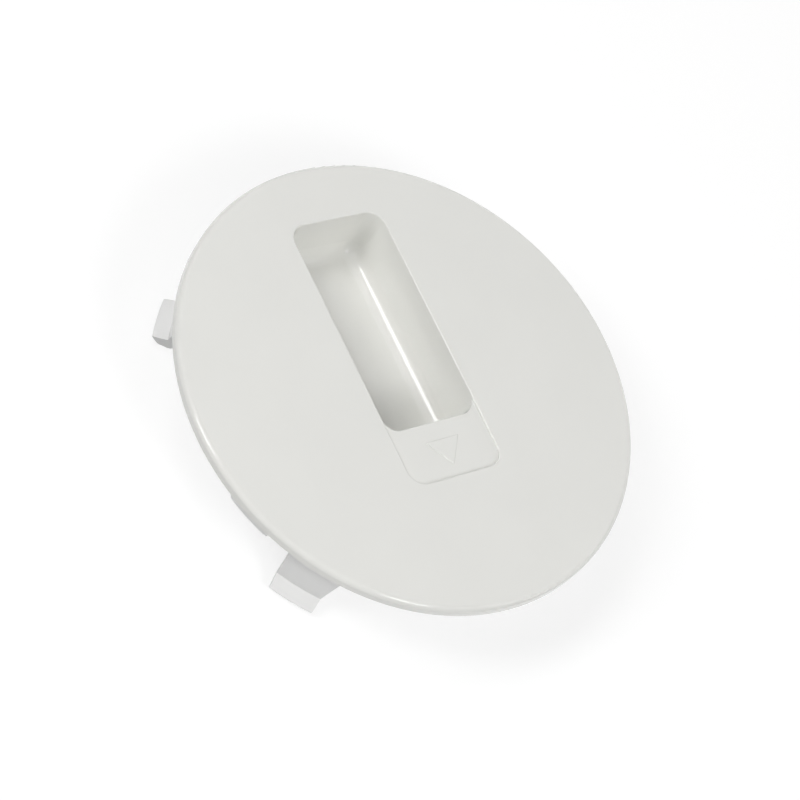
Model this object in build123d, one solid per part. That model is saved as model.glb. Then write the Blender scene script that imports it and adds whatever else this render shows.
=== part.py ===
from build123d import *
import os
from math import radians, tan

# Snap-in plug for the round outlet of a tumble dryer, moulded in one piece.
# The seat plane, where the rim bears on the panel, is z = 0. The front face looks up +Z,
# and the finger pocket runs along Y. Sizes are in millimetres, angles in degrees.

# The machine's panel: its round hole, and the depth of the collar that the hooks reach under
hole_diameter = 112.0
hole_clearance = 0.25
collar_depth = 14.6
catch_clearance = 0.2

# Round cover plate, which overlaps the hole and stands on a narrow lip
rim_overlap = 4.0
rim_round = 1.4
plate_wall = 2.2
lip_height = 0.9
lip_width = 2.4

# Opening in the front face: a finger pocket, with a shallow thumb shelf at its lower end
opening_width = 27.0
opening_length = 71.0
opening_offset = 9.3
opening_corner = 4.3
mouth_round = 0.35
shelf_length = 14.5
shelf_depth = 0.6
pocket_depth = 15.5
pocket_draft = 4.0
pocket_floor_round = 4.0
pocket_wall = 2.0

# Snap hooks, in pairs either side of the X axis
hook_spread = 40.0
hook_wall = 2.4
hook_reach = 3.5
hook_edge = 0.2
hook_nose_depth = 2.05
hook_tip_width = 11.0
hook_draft = 7.0
hook_release_angle = 21.0
hook_lead_in_angle = 44.0
hook_heel_round = 1.5
hook_nose_round = 1.8
hook_corner_round = 1.0
hook_corner_stand_off = 0.2
hook_root_round = 1.0

# Locating tabs, in pairs between the hooks
tab_spread = 20.0
tab_length = 8.0
tab_wall = 2.0
tab_tip_width = 12.0
tab_draft = 5.0
tab_lead_in_width = 0.8
tab_lead_in_height = 1.6
tab_corner_round = 1.6
tab_root_round = 0.8

# Places worked out from the sizes above
plate_radius = hole_diameter / 2 + rim_overlap
face_height = lip_height + plate_wall
plate_middle = lip_height + plate_wall / 2
wall_radius = hole_diameter / 2 - hole_clearance
pocket_length = opening_length - shelf_length
pocket_offset = opening_offset + shelf_length / 2
front = Plane.XY.offset(face_height)


def drafted_block(width, length, corner, offset, depth):
    """A rounded rectangle on the front face, drawn down into the part with draft on its walls."""
    outline = front * Pos(0, offset) * RectangleRounded(width, length, corner)
    return extrude(outline, amount=-depth, taper=pocket_draft)


def floor_edges(block):
    """The loop of edges around a block's lowest face."""
    return block.faces().sort_by(Axis.Z)[0].edges()


def mouth_edges(solid):
    """The loop of edges around the opening in the front face, which is the highest face."""
    return solid.faces().sort_by(Axis.Z)[-1].inner_wires()[0].edges()


def cover_plate():
    """A disc with a rounded front edge, and a lip behind that makes the seat a narrow ring."""
    front_corner = (plate_radius, 0, face_height)
    section = make_face(
        Plane.XZ
        * Polyline(
            (0, lip_height),
            (plate_radius - lip_width, lip_height),
            (plate_radius - lip_width, 0),
            (plate_radius, 0),
            (plate_radius, face_height),
            (0, face_height),
            close=True,
        )
    )
    corner = section.vertices().sort_by_distance(front_corner)[0]
    return revolve(fillet(corner, rim_round), Axis.Z)


def pocket_shell():
    """The box behind the plate, one wall larger all round than the finger pocket inside it."""
    shell = drafted_block(
        opening_width + 2 * pocket_wall,
        pocket_length + 2 * pocket_wall,
        opening_corner + pocket_wall,
        pocket_offset,
        pocket_depth + pocket_wall,
    )
    return fillet(floor_edges(shell), pocket_floor_round + pocket_wall)


def front_opening():
    """The space cut from the front: the pocket and the shelf start from the same three walls."""
    pocket = drafted_block(opening_width, pocket_length, opening_corner, pocket_offset, pocket_depth)
    shelf = drafted_block(opening_width, opening_length, opening_corner, opening_offset, shelf_depth)
    return fillet(floor_edges(pocket), pocket_floor_round) + shelf


def wall_ring(wall, root_round, profile, rounds):
    """A ring below the plate, turned from its profile and joined to the plate by rounded roots."""
    inner = wall_radius - wall
    root_run = 2 * root_round
    section = make_face(
        Plane.XZ
        * Polyline(
            (inner - root_run, plate_middle),
            (inner - root_run, lip_height),
            (inner, lip_height),
            *profile,
            (wall_radius, lip_height),
            (wall_radius + root_run, lip_height),
            (wall_radius + root_run, plate_middle),
            close=True,
        )
    )
    roots = [((inner, lip_height), root_round), ((wall_radius, lip_height), root_round)]
    for (x, z), radius in roots + rounds:
        corner = section.vertices().sort_by_distance((x, 0, z))[0]
        section = fillet(corner, radius)
    return revolve(section, Axis.Z)


def wall_block(tip_width, draft, tip, reach):
    """A block along -X that trims a ring to one wall, with its two sides drawn in towards the tip."""
    half_tip = tip_width / 2
    half_root = half_tip + (plate_middle - tip) * tan(radians(draft))
    outline = Polyline(
        (-half_tip, tip), (half_tip, tip), (half_root, plate_middle), (-half_root, plate_middle), close=True
    )
    return extrude(make_face(Plane.YZ * outline), amount=-reach)


def snap_hook():
    """A straight leg with a sloped catch, a narrow edge, and a rounded nose that leads it into the hole."""
    reach = wall_radius + hook_reach
    fold = -collar_depth - catch_clearance
    edge_top = fold - hook_reach * tan(radians(hook_release_angle))
    edge_bottom = edge_top - hook_edge
    tip = edge_bottom - hook_nose_depth
    heel = (wall_radius - hook_wall, tip)
    nose = (reach - hook_nose_depth / tan(radians(hook_lead_in_angle)), tip)
    ring = wall_ring(
        hook_wall,
        hook_root_round,
        [heel, nose, (reach, edge_bottom), (reach, edge_top), (wall_radius, fold)],
        [(heel, hook_heel_round), (nose, hook_nose_round)],
    )
    block = wall_block(hook_tip_width, hook_draft, tip, reach + hook_corner_stand_off)
    outer_corners = block.faces().sort_by(Axis.X)[0].edges().filter_by(Axis.Y, reverse=True)
    return ring & fillet(outer_corners, hook_corner_round)


def locating_tab():
    """A short wall that centres the plug in its hole, bevelled outside and rounded at its lower corners."""
    tip = -tab_length
    ring = wall_ring(
        tab_wall,
        tab_root_round,
        [
            (wall_radius - tab_wall, tip),
            (wall_radius - tab_lead_in_width, tip),
            (wall_radius, tip + tab_lead_in_height),
        ],
        [],
    )
    block = wall_block(tab_tip_width, tab_draft, tip, plate_radius)
    lower_corners = block.faces().sort_by(Axis.Z)[0].edges().filter_by(Axis.X)
    return ring & fillet(lower_corners, tab_corner_round)


def four_about_x(wall, spread):
    """Copies a wall to both sides of the -X axis and of the +X axis."""
    return [Rot(0, 0, side + turn) * wall for side in (0, 180) for turn in (-spread, spread)]


def drain_plug():
    """The whole moulding."""
    plug = cover_plate() + pocket_shell()
    plug += four_about_x(snap_hook(), hook_spread)
    plug += four_about_x(locating_tab(), tab_spread)
    plug -= front_opening()
    return fillet(mouth_edges(plug), mouth_round)


os.makedirs("parts", exist_ok=True)
plug = drain_plug()
plug.label = "drain_plug"
export_step(plug, "parts/drain_plug.step")
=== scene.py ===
# %% [markdown]
# # A drain plug for a tumble dryer
# The plug is one injection moulding in glossy white plastic. A round cover plate closes a hole in
# the machine's panel, a finger pocket in front lets a hand pull it out, and hooks behind snap it in.
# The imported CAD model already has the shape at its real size. This script adds what the eye sees:
# soft moulded edges, the raised direction mark, the plastic itself and the light of a studio.

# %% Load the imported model
from math import cos, hypot, radians, sin

import bmesh
import bpy
from mathutils import Matrix, Vector


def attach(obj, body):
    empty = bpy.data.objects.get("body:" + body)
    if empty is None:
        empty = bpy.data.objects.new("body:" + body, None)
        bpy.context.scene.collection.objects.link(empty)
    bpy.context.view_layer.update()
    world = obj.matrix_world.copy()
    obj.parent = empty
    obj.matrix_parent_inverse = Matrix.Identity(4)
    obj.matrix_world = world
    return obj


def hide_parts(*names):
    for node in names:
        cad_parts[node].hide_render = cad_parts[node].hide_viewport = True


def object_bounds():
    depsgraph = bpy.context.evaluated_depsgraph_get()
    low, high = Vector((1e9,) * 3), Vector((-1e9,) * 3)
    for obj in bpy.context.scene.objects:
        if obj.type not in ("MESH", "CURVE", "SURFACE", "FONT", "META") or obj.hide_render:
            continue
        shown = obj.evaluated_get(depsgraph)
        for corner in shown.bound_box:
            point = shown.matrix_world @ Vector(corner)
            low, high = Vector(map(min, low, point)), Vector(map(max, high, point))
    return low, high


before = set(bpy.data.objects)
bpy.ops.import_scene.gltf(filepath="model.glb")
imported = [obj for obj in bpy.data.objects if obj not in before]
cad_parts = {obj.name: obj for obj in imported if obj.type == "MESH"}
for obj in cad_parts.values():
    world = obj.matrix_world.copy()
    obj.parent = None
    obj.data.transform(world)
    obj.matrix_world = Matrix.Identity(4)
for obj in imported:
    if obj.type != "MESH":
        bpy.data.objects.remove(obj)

mm = 0.001
cad_low, cad_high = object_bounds()
plug_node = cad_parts["drain_plug"]
face_height = cad_high.z
hook_tip = cad_low.z
print("CAD box in mm:", [round(v / mm, 2) for v in cad_high - cad_low])

# %% [markdown]
# ## The moulding
# The CAD mesh is loose triangles, one patch for each CAD face, so light breaks where patches meet.
# It could be shaded as it is, but a gloss shows every break. A copy is merged instead, and the
# triangles of each flat are joined to whole faces, so that a flat stays flat right up to its edge.


# %% Merge a copy of the CAD mesh
def edit(obj):
    """Makes one object the only selected one, and opens it in edit mode with nothing selected."""
    bpy.ops.object.select_all(action="DESELECT")
    obj.select_set(True)
    bpy.context.view_layer.objects.active = obj
    bpy.ops.object.mode_set(mode="EDIT")
    bpy.ops.mesh.select_all(action="DESELECT")


merge_distance = 0.002 * mm
flat_angle = radians(0.02)

moulding = bpy.data.objects.new("plug_moulding", plug_node.data.copy())
bpy.context.scene.collection.objects.link(moulding)
edit(moulding)
bpy.ops.mesh.select_all(action="SELECT")
bpy.ops.mesh.customdata_custom_splitnormals_clear()
bpy.ops.mesh.remove_doubles(threshold=merge_distance)
bpy.ops.mesh.dissolve_limited(angle_limit=flat_angle)
bpy.ops.object.mode_set(mode="OBJECT")
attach(moulding, "root")
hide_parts("drain_plug")
print("moulding:", len(moulding.data.polygons), "faces")

# %% [markdown]
# ## Soft edges
# No edge of a moulding is truly sharp, because melt doesn't fill the last tenth of a millimetre of a
# corner in the mould. A thin line of light along each edge shows it. The bevel modifier could round
# every edge alike, but the edges differ: so each group is chosen by its place and gets a bevel
# weight, which is here its radius in millimetres. Where the shelf runs out beside the finger
# pocket, the weight fades, as the real round does.

# %% Choose the edges and their rounds
sharp_edge = radians(35)
touch = 0.01 * mm

seat_height = 0.0 * mm
plate_back = 0.9 * mm
shelf_height = 2.5 * mm
lip_inner_radius = 57.6 * mm
hook_inner_radius = 50 * mm
wall_top = -0.2 * mm
wall_end = -13.0 * mm
shelf_end = -10 * mm
shelf_end_reach = 3 * mm
shelf_half_width = 13.2 * mm
shelf_fade = 2.5 * mm

seat_round = 0.25
pocket_root_round = 0.8
shelf_round = 0.3
wall_round = 0.15


def edge_round(point):
    """The round of a sharp edge in millimetres, by the place of its middle."""
    radius = hypot(point.x, point.y)
    if abs(point.z - seat_height) < touch and radius > lip_inner_radius - touch:
        return seat_round
    if abs(point.z - plate_back) < touch and radius < hook_inner_radius:
        return pocket_root_round
    if abs(point.z - shelf_height) < touch and abs(point.y - shelf_end) < shelf_end_reach:
        return shelf_round * min(1.0, max(0.0, (shelf_half_width - abs(point.x)) / shelf_fade))
    if radius > hook_inner_radius and wall_end < point.z < wall_top:
        return wall_round
    return 0.0


edit(moulding)
shape = bmesh.from_edit_mesh(moulding.data)
weight = shape.edges.layers.float.new("bevel_weight_edge")
for edge in shape.edges:
    if edge.calc_face_angle(0) > sharp_edge:
        edge[weight] = edge_round((edge.verts[0].co + edge.verts[1].co) / 2)
print("edges to round:", sum(edge[weight] > 0 for edge in shape.edges))
bmesh.update_edit_mesh(moulding.data)
bpy.ops.object.mode_set(mode="OBJECT")

# %% Round them
round_steps = 3
smooth_angle = radians(28)

soft_edges = moulding.modifiers.new("soft_edges", "BEVEL")
soft_edges.limit_method = "WEIGHT"
soft_edges.width = 1 * mm
soft_edges.segments = round_steps
soft_edges.use_clamp_overlap = False
bpy.ops.object.modifier_apply(modifier="soft_edges")
bpy.ops.object.shade_smooth_by_angle(angle=smooth_angle)
even_shading = moulding.modifiers.new("even_shading", "WEIGHTED_NORMAL")
even_shading.keep_sharp = True
print("moulding with soft edges:", len(moulding.data.polygons), "faces")

# %% [markdown]
# ## The direction mark
# A small raised triangle on the thumb shelf shows which way the plug goes in. On the real part it is
# a pocket in the mould, so its edges are soft. A three-sided circle is drawn to its width and length,
# raised, and bevelled on top. It could be a bump in the material, but raised edges catch the light.

# %% Model the direction mark
mark_width = 9.8 * mm
mark_length = 6.8 * mm
mark_middle = -19.7 * mm
mark_rise = 0.2 * mm
mark_sink = 0.1 * mm
mark_edge = 0.15 * mm

bpy.ops.object.select_all(action="DESELECT")
bpy.ops.mesh.primitive_circle_add(vertices=3, radius=1, fill_type="NGON")
mark = bpy.context.object
mark.name = "direction_mark"
mark.data.name = "direction_mark"
corners = [v.co for v in mark.data.vertices]
across = max(c.x for c in corners) - min(c.x for c in corners)
along = max(c.y for c in corners) - min(c.y for c in corners)
middle = (max(c.y for c in corners) + min(c.y for c in corners)) / 2
stretch = Matrix.Diagonal((mark_width / across, -mark_length / along, 1, 1))
seat_on_shelf = Matrix.Translation((0, mark_middle, shelf_height - mark_sink))
mark.data.transform(seat_on_shelf @ stretch @ Matrix.Translation((0, -middle, 0)))
edit(mark)
bpy.ops.mesh.select_all(action="SELECT")
bpy.ops.mesh.extrude_region_move(TRANSFORM_OT_translate={"value": (0, 0, mark_sink + mark_rise)})
bpy.ops.mesh.bevel(offset=mark_edge, segments=round_steps, affect="EDGES")
bpy.ops.mesh.select_all(action="SELECT")
bpy.ops.mesh.normals_make_consistent(inside=False)
bpy.ops.object.mode_set(mode="OBJECT")
bpy.ops.object.shade_smooth_by_angle(angle=smooth_angle)
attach(mark, "root")
print("direction mark:", [round(v / mm, 2) for v in mark.dimensions], "mm")

# %% [markdown]
# ## White moulded plastic
# The plug is ABS, an opaque white plastic. The front of its mould is polished, so the face has a
# clear gloss, while the back keeps the fine matt grain that spark erosion leaves on the core. The
# two halves of the mould meet at the rim's lower edge. A flat colour would look like paint on
# paper, so the white drifts a little, as flow in the mould leaves it, and so does the gloss.


# %% Helpers for materials
def linear(hex_colour):
    """Turns an sRGB hex colour to the linear values that shaders take."""
    channels = [int(hex_colour[i : i + 2], 16) / 255 for i in (1, 3, 5)]
    return [c / 12.92 if c <= 0.04045 else ((c + 0.055) / 1.055) ** 2.4 for c in channels] + [1.0]


def add_node(tree, kind, sockets, **settings):
    """Adds a node with its settings. A socket takes a value, or a link where it is given an output."""
    node = tree.nodes.new(kind)
    for name, value in settings.items():
        setattr(node, name, value)
    for name, value in sockets.items():
        if isinstance(value, bpy.types.NodeSocket):
            tree.links.new(value, node.inputs[name])
        else:
            node.inputs[name].default_value = value
    return node


print("mid grey #808080 in linear values:", round(linear("#808080")[0], 3))

# %% Moulded white ABS, polished in front and fine matt behind
abs_ior = 1.53
flow_mark_size = 22 * mm
flow_low = 0.3
flow_high = 0.7
gloss_drift = 0.15


def moulded_abs(name, tints, roughness, relief_size, relief_depth):
    """White ABS with drifting tint and gloss, and a fine relief that the mould's surface left on it."""
    material = bpy.data.materials.new(name)
    material.use_nodes = True
    tree = material.node_tree
    shader = tree.nodes["Principled BSDF"]
    shader.inputs["IOR"].default_value = abs_ior
    place = add_node(tree, "ShaderNodeTexCoord", {}).outputs["Object"]
    flow = add_node(
        tree,
        "ShaderNodeTexNoise",
        {"Vector": place, "Scale": 1 / flow_mark_size, "Detail": 3.0, "Roughness": 0.5},
    )
    tint = add_node(tree, "ShaderNodeValToRGB", {"Fac": flow.outputs["Fac"]})
    for stop, position, colour in zip(tint.color_ramp.elements, (flow_low, flow_high), tints):
        stop.position = position
        stop.color = linear(colour)
    tree.links.new(tint.outputs["Color"], shader.inputs["Base Color"])
    gloss = add_node(
        tree,
        "ShaderNodeMapRange",
        {
            "Value": flow.outputs["Fac"],
            "From Min": flow_low,
            "From Max": flow_high,
            "To Min": roughness * (1 - gloss_drift),
            "To Max": roughness * (1 + gloss_drift),
        },
    )
    tree.links.new(gloss.outputs["Result"], shader.inputs["Roughness"])
    relief = add_node(
        tree, "ShaderNodeTexNoise", {"Vector": place, "Scale": 1 / relief_size, "Detail": 2.0}
    )
    bump = add_node(
        tree,
        "ShaderNodeBump",
        {"Height": relief.outputs["Fac"], "Distance": relief_depth, "Strength": 1.0},
    )
    tree.links.new(bump.outputs["Normal"], shader.inputs["Normal"])
    return material


# Polished steel leaves a skin that mirrors a lamp as a crisp line. Waves of a few thousandths of a
# millimetre, which polishing leaves, bend that line a little.
polished_abs = moulded_abs(
    "polished_moulded_abs",
    ("#E2E2DE", "#E4E4E0"),
    roughness=0.06,
    relief_size=5 * mm,
    relief_depth=0.004 * mm,
)
# Spark erosion leaves pits a few hundredths of a millimetre wide, which spread a highlight to a soft
# sheen. The white is a touch more neutral. The pits are too fine to show, so the grain is drawn
# coarser.
matt_abs = moulded_abs(
    "spark_eroded_moulded_abs",
    ("#E2E2E1", "#E4E4E3"),
    roughness=0.36,
    relief_size=0.7 * mm,
    relief_depth=0.008 * mm,
)
print("materials:", polished_abs.name, "and", matt_abs.name)

# %% Give each side its finish
parting_height = 1.0 * mm
rim_side_depth = 0.15 * mm
pocket_half_width = 13.6 * mm
pocket_half_length = 28.4 * mm
pocket_middle = 16.55 * mm
pocket_floor = -13.0 * mm


def is_front(point):
    """Tells whether a point lies on the polished side of the mould."""
    in_pocket = (
        abs(point.x) < pocket_half_width
        and abs(point.y - pocket_middle) < pocket_half_length
        and point.z > pocket_floor
    )
    on_rim = hypot(point.x, point.y) > cad_high.x - rim_side_depth and point.z > seat_height
    return point.z > parting_height or in_pocket or on_rim


moulding.data.materials.clear()
moulding.data.materials.append(polished_abs)
moulding.data.materials.append(matt_abs)
for face in moulding.data.polygons:
    face.material_index = 0 if is_front(face.center) else 1
mark.data.materials.clear()
mark.data.materials.append(polished_abs)
behind = sum(face.material_index for face in moulding.data.polygons)
print("matt faces behind:", behind, "of", len(moulding.data.polygons))

# %% [markdown]
# ## The studio
# The plug lies face up on its hook tips, on white paper that runs into a white background. Paper lit
# to white would throw too much light back at the plug, so the paper is grey and adds light of its
# own only where the camera or a reflection sees it: it turns white and still takes a soft shadow.
# Further out it glows more, because less lamp light gets there. From below it is clear, and lamps
# under it shine through, as on a light table, so that the back of the plug can be looked at. The
# background works alike: it is white to the eye, and lights the plug only as much as a dim room.

# %% Floor
floor_size = 6.0

bpy.ops.object.select_all(action="DESELECT")
bpy.ops.mesh.primitive_plane_add(size=floor_size)
floor = bpy.context.object
floor.name = "studio_floor"
floor.data.transform(Matrix.Translation((0, 0, hook_tip)))
print("floor at", round(hook_tip / mm, 2), "mm")

# %% White studio paper
near_floor = 0.25
far_floor = 0.8
near_glow = 0.66
far_glow = 1.0


def seen_directly(tree):
    """An output that is 1 on rays from the camera, from a reflection or through a clear piece."""
    ray = add_node(tree, "ShaderNodeLightPath", {})
    seen = ray.outputs["Is Camera Ray"]
    for kind in ("Is Glossy Ray", "Is Transmission Ray"):
        either = add_node(tree, "ShaderNodeMath", {0: seen, 1: ray.outputs[kind]}, operation="MAXIMUM")
        seen = either.outputs[0]
    return seen


# Paper is matt, so it shows no highlight, only the soft shadow of the plug.
paper = bpy.data.materials.new("white_studio_paper")
paper.use_nodes = True
tree = paper.node_tree
tree.nodes.clear()
spot = add_node(tree, "ShaderNodeTexCoord", {}).outputs["Object"]
reach = add_node(tree, "ShaderNodeVectorMath", {0: spot}, operation="LENGTH")
glow_level = add_node(
    tree,
    "ShaderNodeMapRange",
    {
        "Value": reach.outputs["Value"],
        "From Min": near_floor,
        "From Max": far_floor,
        "To Min": near_glow,
        "To Max": far_glow,
    },
)
glow_strength = add_node(
    tree,
    "ShaderNodeMath",
    {0: seen_directly(tree), 1: glow_level.outputs["Result"]},
    operation="MULTIPLY",
)
matt = add_node(tree, "ShaderNodeBsdfDiffuse", {"Color": linear("#A8A8A8")})
glow = add_node(tree, "ShaderNodeEmission", {"Strength": glow_strength.outputs[0]})
top = add_node(tree, "ShaderNodeAddShader", {0: matt.outputs[0], 1: glow.outputs[0]})
clear = add_node(tree, "ShaderNodeBsdfTransparent", {})
below = add_node(tree, "ShaderNodeNewGeometry", {}).outputs["Backfacing"]
shadow_ray = add_node(tree, "ShaderNodeLightPath", {}).outputs["Is Shadow Ray"]
see_through = add_node(tree, "ShaderNodeMath", {0: below, 1: shadow_ray}, operation="MAXIMUM")
both_sides = add_node(
    tree,
    "ShaderNodeMixShader",
    {0: see_through.outputs[0], 1: top.outputs[0], 2: clear.outputs[0]},
)
add_node(tree, "ShaderNodeOutputMaterial", {"Surface": both_sides.outputs[0]})
floor.data.materials.append(paper)
print("paper:", len(tree.nodes), "nodes")

# %% Background
room_light = 0.09

world = bpy.data.worlds.new("white_studio")
bpy.context.scene.world = world
world.use_nodes = True
tree = world.node_tree
tree.nodes.clear()
room = add_node(tree, "ShaderNodeBackground", {"Color": linear("#FFFFFF"), "Strength": room_light})
white = add_node(tree, "ShaderNodeBackground", {"Color": linear("#FFFFFF"), "Strength": 1.0})
backdrop = add_node(
    tree,
    "ShaderNodeMixShader",
    {0: seen_directly(tree), 1: room.outputs[0], 2: white.outputs[0]},
)
add_node(tree, "ShaderNodeOutputWorld", {"Surface": backdrop.outputs[0]})
print("background white to the eye, light of the room", room_light)

# %% [markdown]
# ## The lamps
# A glossy moulding shows its lamps. One large lamp could light it alone, but would show as a broad
# white band, where a studio picture has short crisp lines. So the work is split: small key lamps show
# in the gloss and draw those lines on the rim and along the pocket's floor, and large fill lamps give
# most of the light but are hidden from reflections. Two lamps under the paper light the back.


# %% Lamps
lamp_distance = 1.0


def soft_box(name, direction, width, height, power, shows):
    """An oval area lamp that looks at the plug and may show in its gloss."""
    lamp = bpy.data.lights.new(name, "AREA")
    lamp.shape = "ELLIPSE"
    lamp.size = width
    lamp.size_y = height
    lamp.energy = power
    box = bpy.data.objects.new(name, lamp)
    bpy.context.scene.collection.objects.link(box)
    away = Vector(direction).normalized()
    box.location = away * lamp_distance
    box.rotation_mode = "QUATERNION"
    box.rotation_quaternion = away.to_track_quat("Z", "Y")
    box.visible_glossy = shows
    return lamp


# Each lamp has its direction from the plug, its width and height in metres and its power in watts.
lamps = [
    soft_box("left_key", (-0.7, 0.27, 0.66), 0.235, 0.42, 1.8, shows=True),
    soft_box("front_key", (0.0, -0.73, 0.68), 0.26, 0.26, 1.2, shows=True),
    soft_box("front_right_box", (0.55, -0.55, 0.63), 0.4, 0.4, 0.4, shows=True),
    soft_box("left_fill", (-0.68, 0.34, 0.65), 0.6, 0.6, 2.6, shows=False),
    soft_box("left_low_fill", (-0.83, 0.38, 0.4), 0.5, 0.5, 0.9, shows=False),
    soft_box("corner_fill", (-0.52, -0.56, 0.64), 0.6, 0.6, 1.4, shows=False),
    soft_box("front_fill", (0.08, -0.76, 0.65), 0.6, 0.6, 1.6, shows=False),
    soft_box("front_low_fill", (0.16, -0.89, 0.44), 0.5, 0.5, 1.4, shows=False),
    soft_box("right_low_fill", (0.98, 0.0, 0.17), 0.4, 0.4, 1.6, shows=False),
    soft_box("back_low_fill", (0.65, 0.73, 0.2), 0.4, 0.4, 2.2, shows=False),
    soft_box("top_fill", (-0.17, 0.52, 0.84), 0.4, 0.4, 1.6, shows=False),
    soft_box("table_light", (0.45, -0.35, -0.82), 0.8, 0.8, 4.5, shows=False),
    soft_box("table_front_light", (-0.35, -0.68, -0.65), 0.6, 0.6, 1.6, shows=False),
]
print("lamps:", len(lamps), "with", round(sum(lamp.energy for lamp in lamps), 1), "W in all")

# %% [markdown]
# ## The camera
# A long lens looks down on the plug from its left front, and is turned about its own axis, so the
# plug seems to lean. The plug could be leant instead, but it lies where the CAD model says. The
# angles were matched to the rim, the pocket and the hooks.

# %% Camera
view_azimuth = radians(295.91)
view_elevation = radians(50.33)
view_roll = radians(43.19)
view_distance = 602.4 * mm
view_target = Vector((-6.37 * mm, -4.5 * mm, face_height))
sensor_width = 36.0
focal_length = 115.41

back = Vector(
    (
        sin(view_azimuth) * cos(view_elevation),
        -cos(view_azimuth) * cos(view_elevation),
        sin(view_elevation),
    )
)
lens = bpy.data.cameras.new("photo_camera")
lens.sensor_width = sensor_width
lens.lens = focal_length
camera = bpy.data.objects.new("photo_camera", lens)
bpy.context.scene.collection.objects.link(camera)
aim = back.to_track_quat("Z", "Y").to_matrix()
turn = Matrix.Rotation(view_roll, 3, back)
camera.matrix_world = Matrix.Translation(view_target + back * view_distance) @ (turn @ aim).to_4x4()
bpy.context.scene.camera = camera
bpy.context.scene.view_settings.view_transform = "Standard"
print("camera at", [round(v, 4) for v in camera.location])
